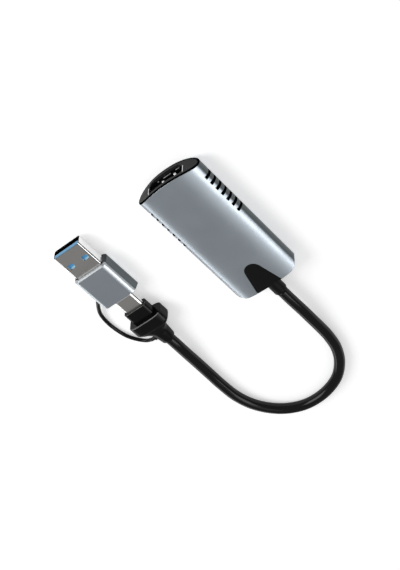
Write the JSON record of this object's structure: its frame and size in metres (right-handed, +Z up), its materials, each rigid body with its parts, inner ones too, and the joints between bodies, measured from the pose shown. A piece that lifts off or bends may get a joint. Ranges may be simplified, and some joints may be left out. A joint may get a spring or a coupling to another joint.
{
  "type": "video capture box",
  "caption": "Flat oval metal capture box with an HDMI socket in one end and a short captive cable to a USB-C plug, which carries a tethered slide-on USB-A adapter.",
  "frame": {"origin": "middle of the flat belly of the box, in its width and its length over the bowed front", "axes": "+Z up out of the broad top, +Y along the box towards its cable, -Y out of the HDMI socket, +X to the side on which the plug lies"},
  "size_m": [0.0757, 0.1198, 0.0091],
  "materials": {
    "anodised_aluminium": "fine bead-blasted, anodised blue-grey",
    "cap_plastic": "fine matte, charcoal",
    "gland_plastic": "matte black",
    "cable_jacket": "smooth black jacket",
    "grip_plastic": "satin black",
    "plug_steel": "satin nickel",
    "socket_steel": "bright plated",
    "blue_plastic": "smooth, light blue",
    "insulator_plastic": "smooth black",
    "contact_gold": "gold plated",
    "board_green": "green solder mask",
    "chip_black": "moulded black",
    "pad_silicone": "soft blue-grey silicone",
    "film_amber": "clear amber film",
    "wire_red": "coloured insulation",
    "ferrite_grey": "grey ferrite",
    "ceramic_tan": "fired ceramic"
  },
  "bodies": {
    "box": {"housing_shell": "anodised_aluminium", "front_cap": "cap_plastic", "cable_gland": "gland_plastic", "hdmi_shell": "socket_steel", "hdmi_insulator": "insulator_plastic", "hdmi_contacts": "contact_gold", "main_board": "board_green", "capture_chip": "chip_black", "thermal_pad": "pad_silicone", "flash_chip": "chip_black", "crystal": "socket_steel", "power_inductor": "ferrite_grey", "voltage_regulator": "chip_black", "capacitors": "ceramic_tan", "insulation_film": "film_amber", "cable_wires": "wire_red", "cable": "cable_jacket", "usbc_shell": "plug_steel", "usbc_insulator": "insulator_plastic", "usbc_contacts": "contact_gold", "usbc_latches": "socket_steel", "plug_board": "board_green", "plug_wires": "wire_red", "usbc_overmold": "grip_plastic", "tether_boot": "grip_plastic", "tether": "cable_jacket"},
    "adapter": {"adapter_sleeve": "anodised_aluminium", "rear_insert": "cap_plastic", "usba_shell": "plug_steel", "usba_insulator": "blue_plastic", "usba_contacts": "contact_gold", "socket_shell": "socket_steel", "socket_tongue": "insulator_plastic", "socket_contacts": "contact_gold", "adapter_board": "board_green", "adapter_chips": "chip_black", "tether_anchor": "gland_plastic"}
  },
  "joints": [
    {"name": "adapter_slide", "type": "slide", "parent": "box", "child": "adapter", "axis": [0, -1, 0], "range_m": [-0.006, 0.008], "deforming": ["tether"]}
  ]
}
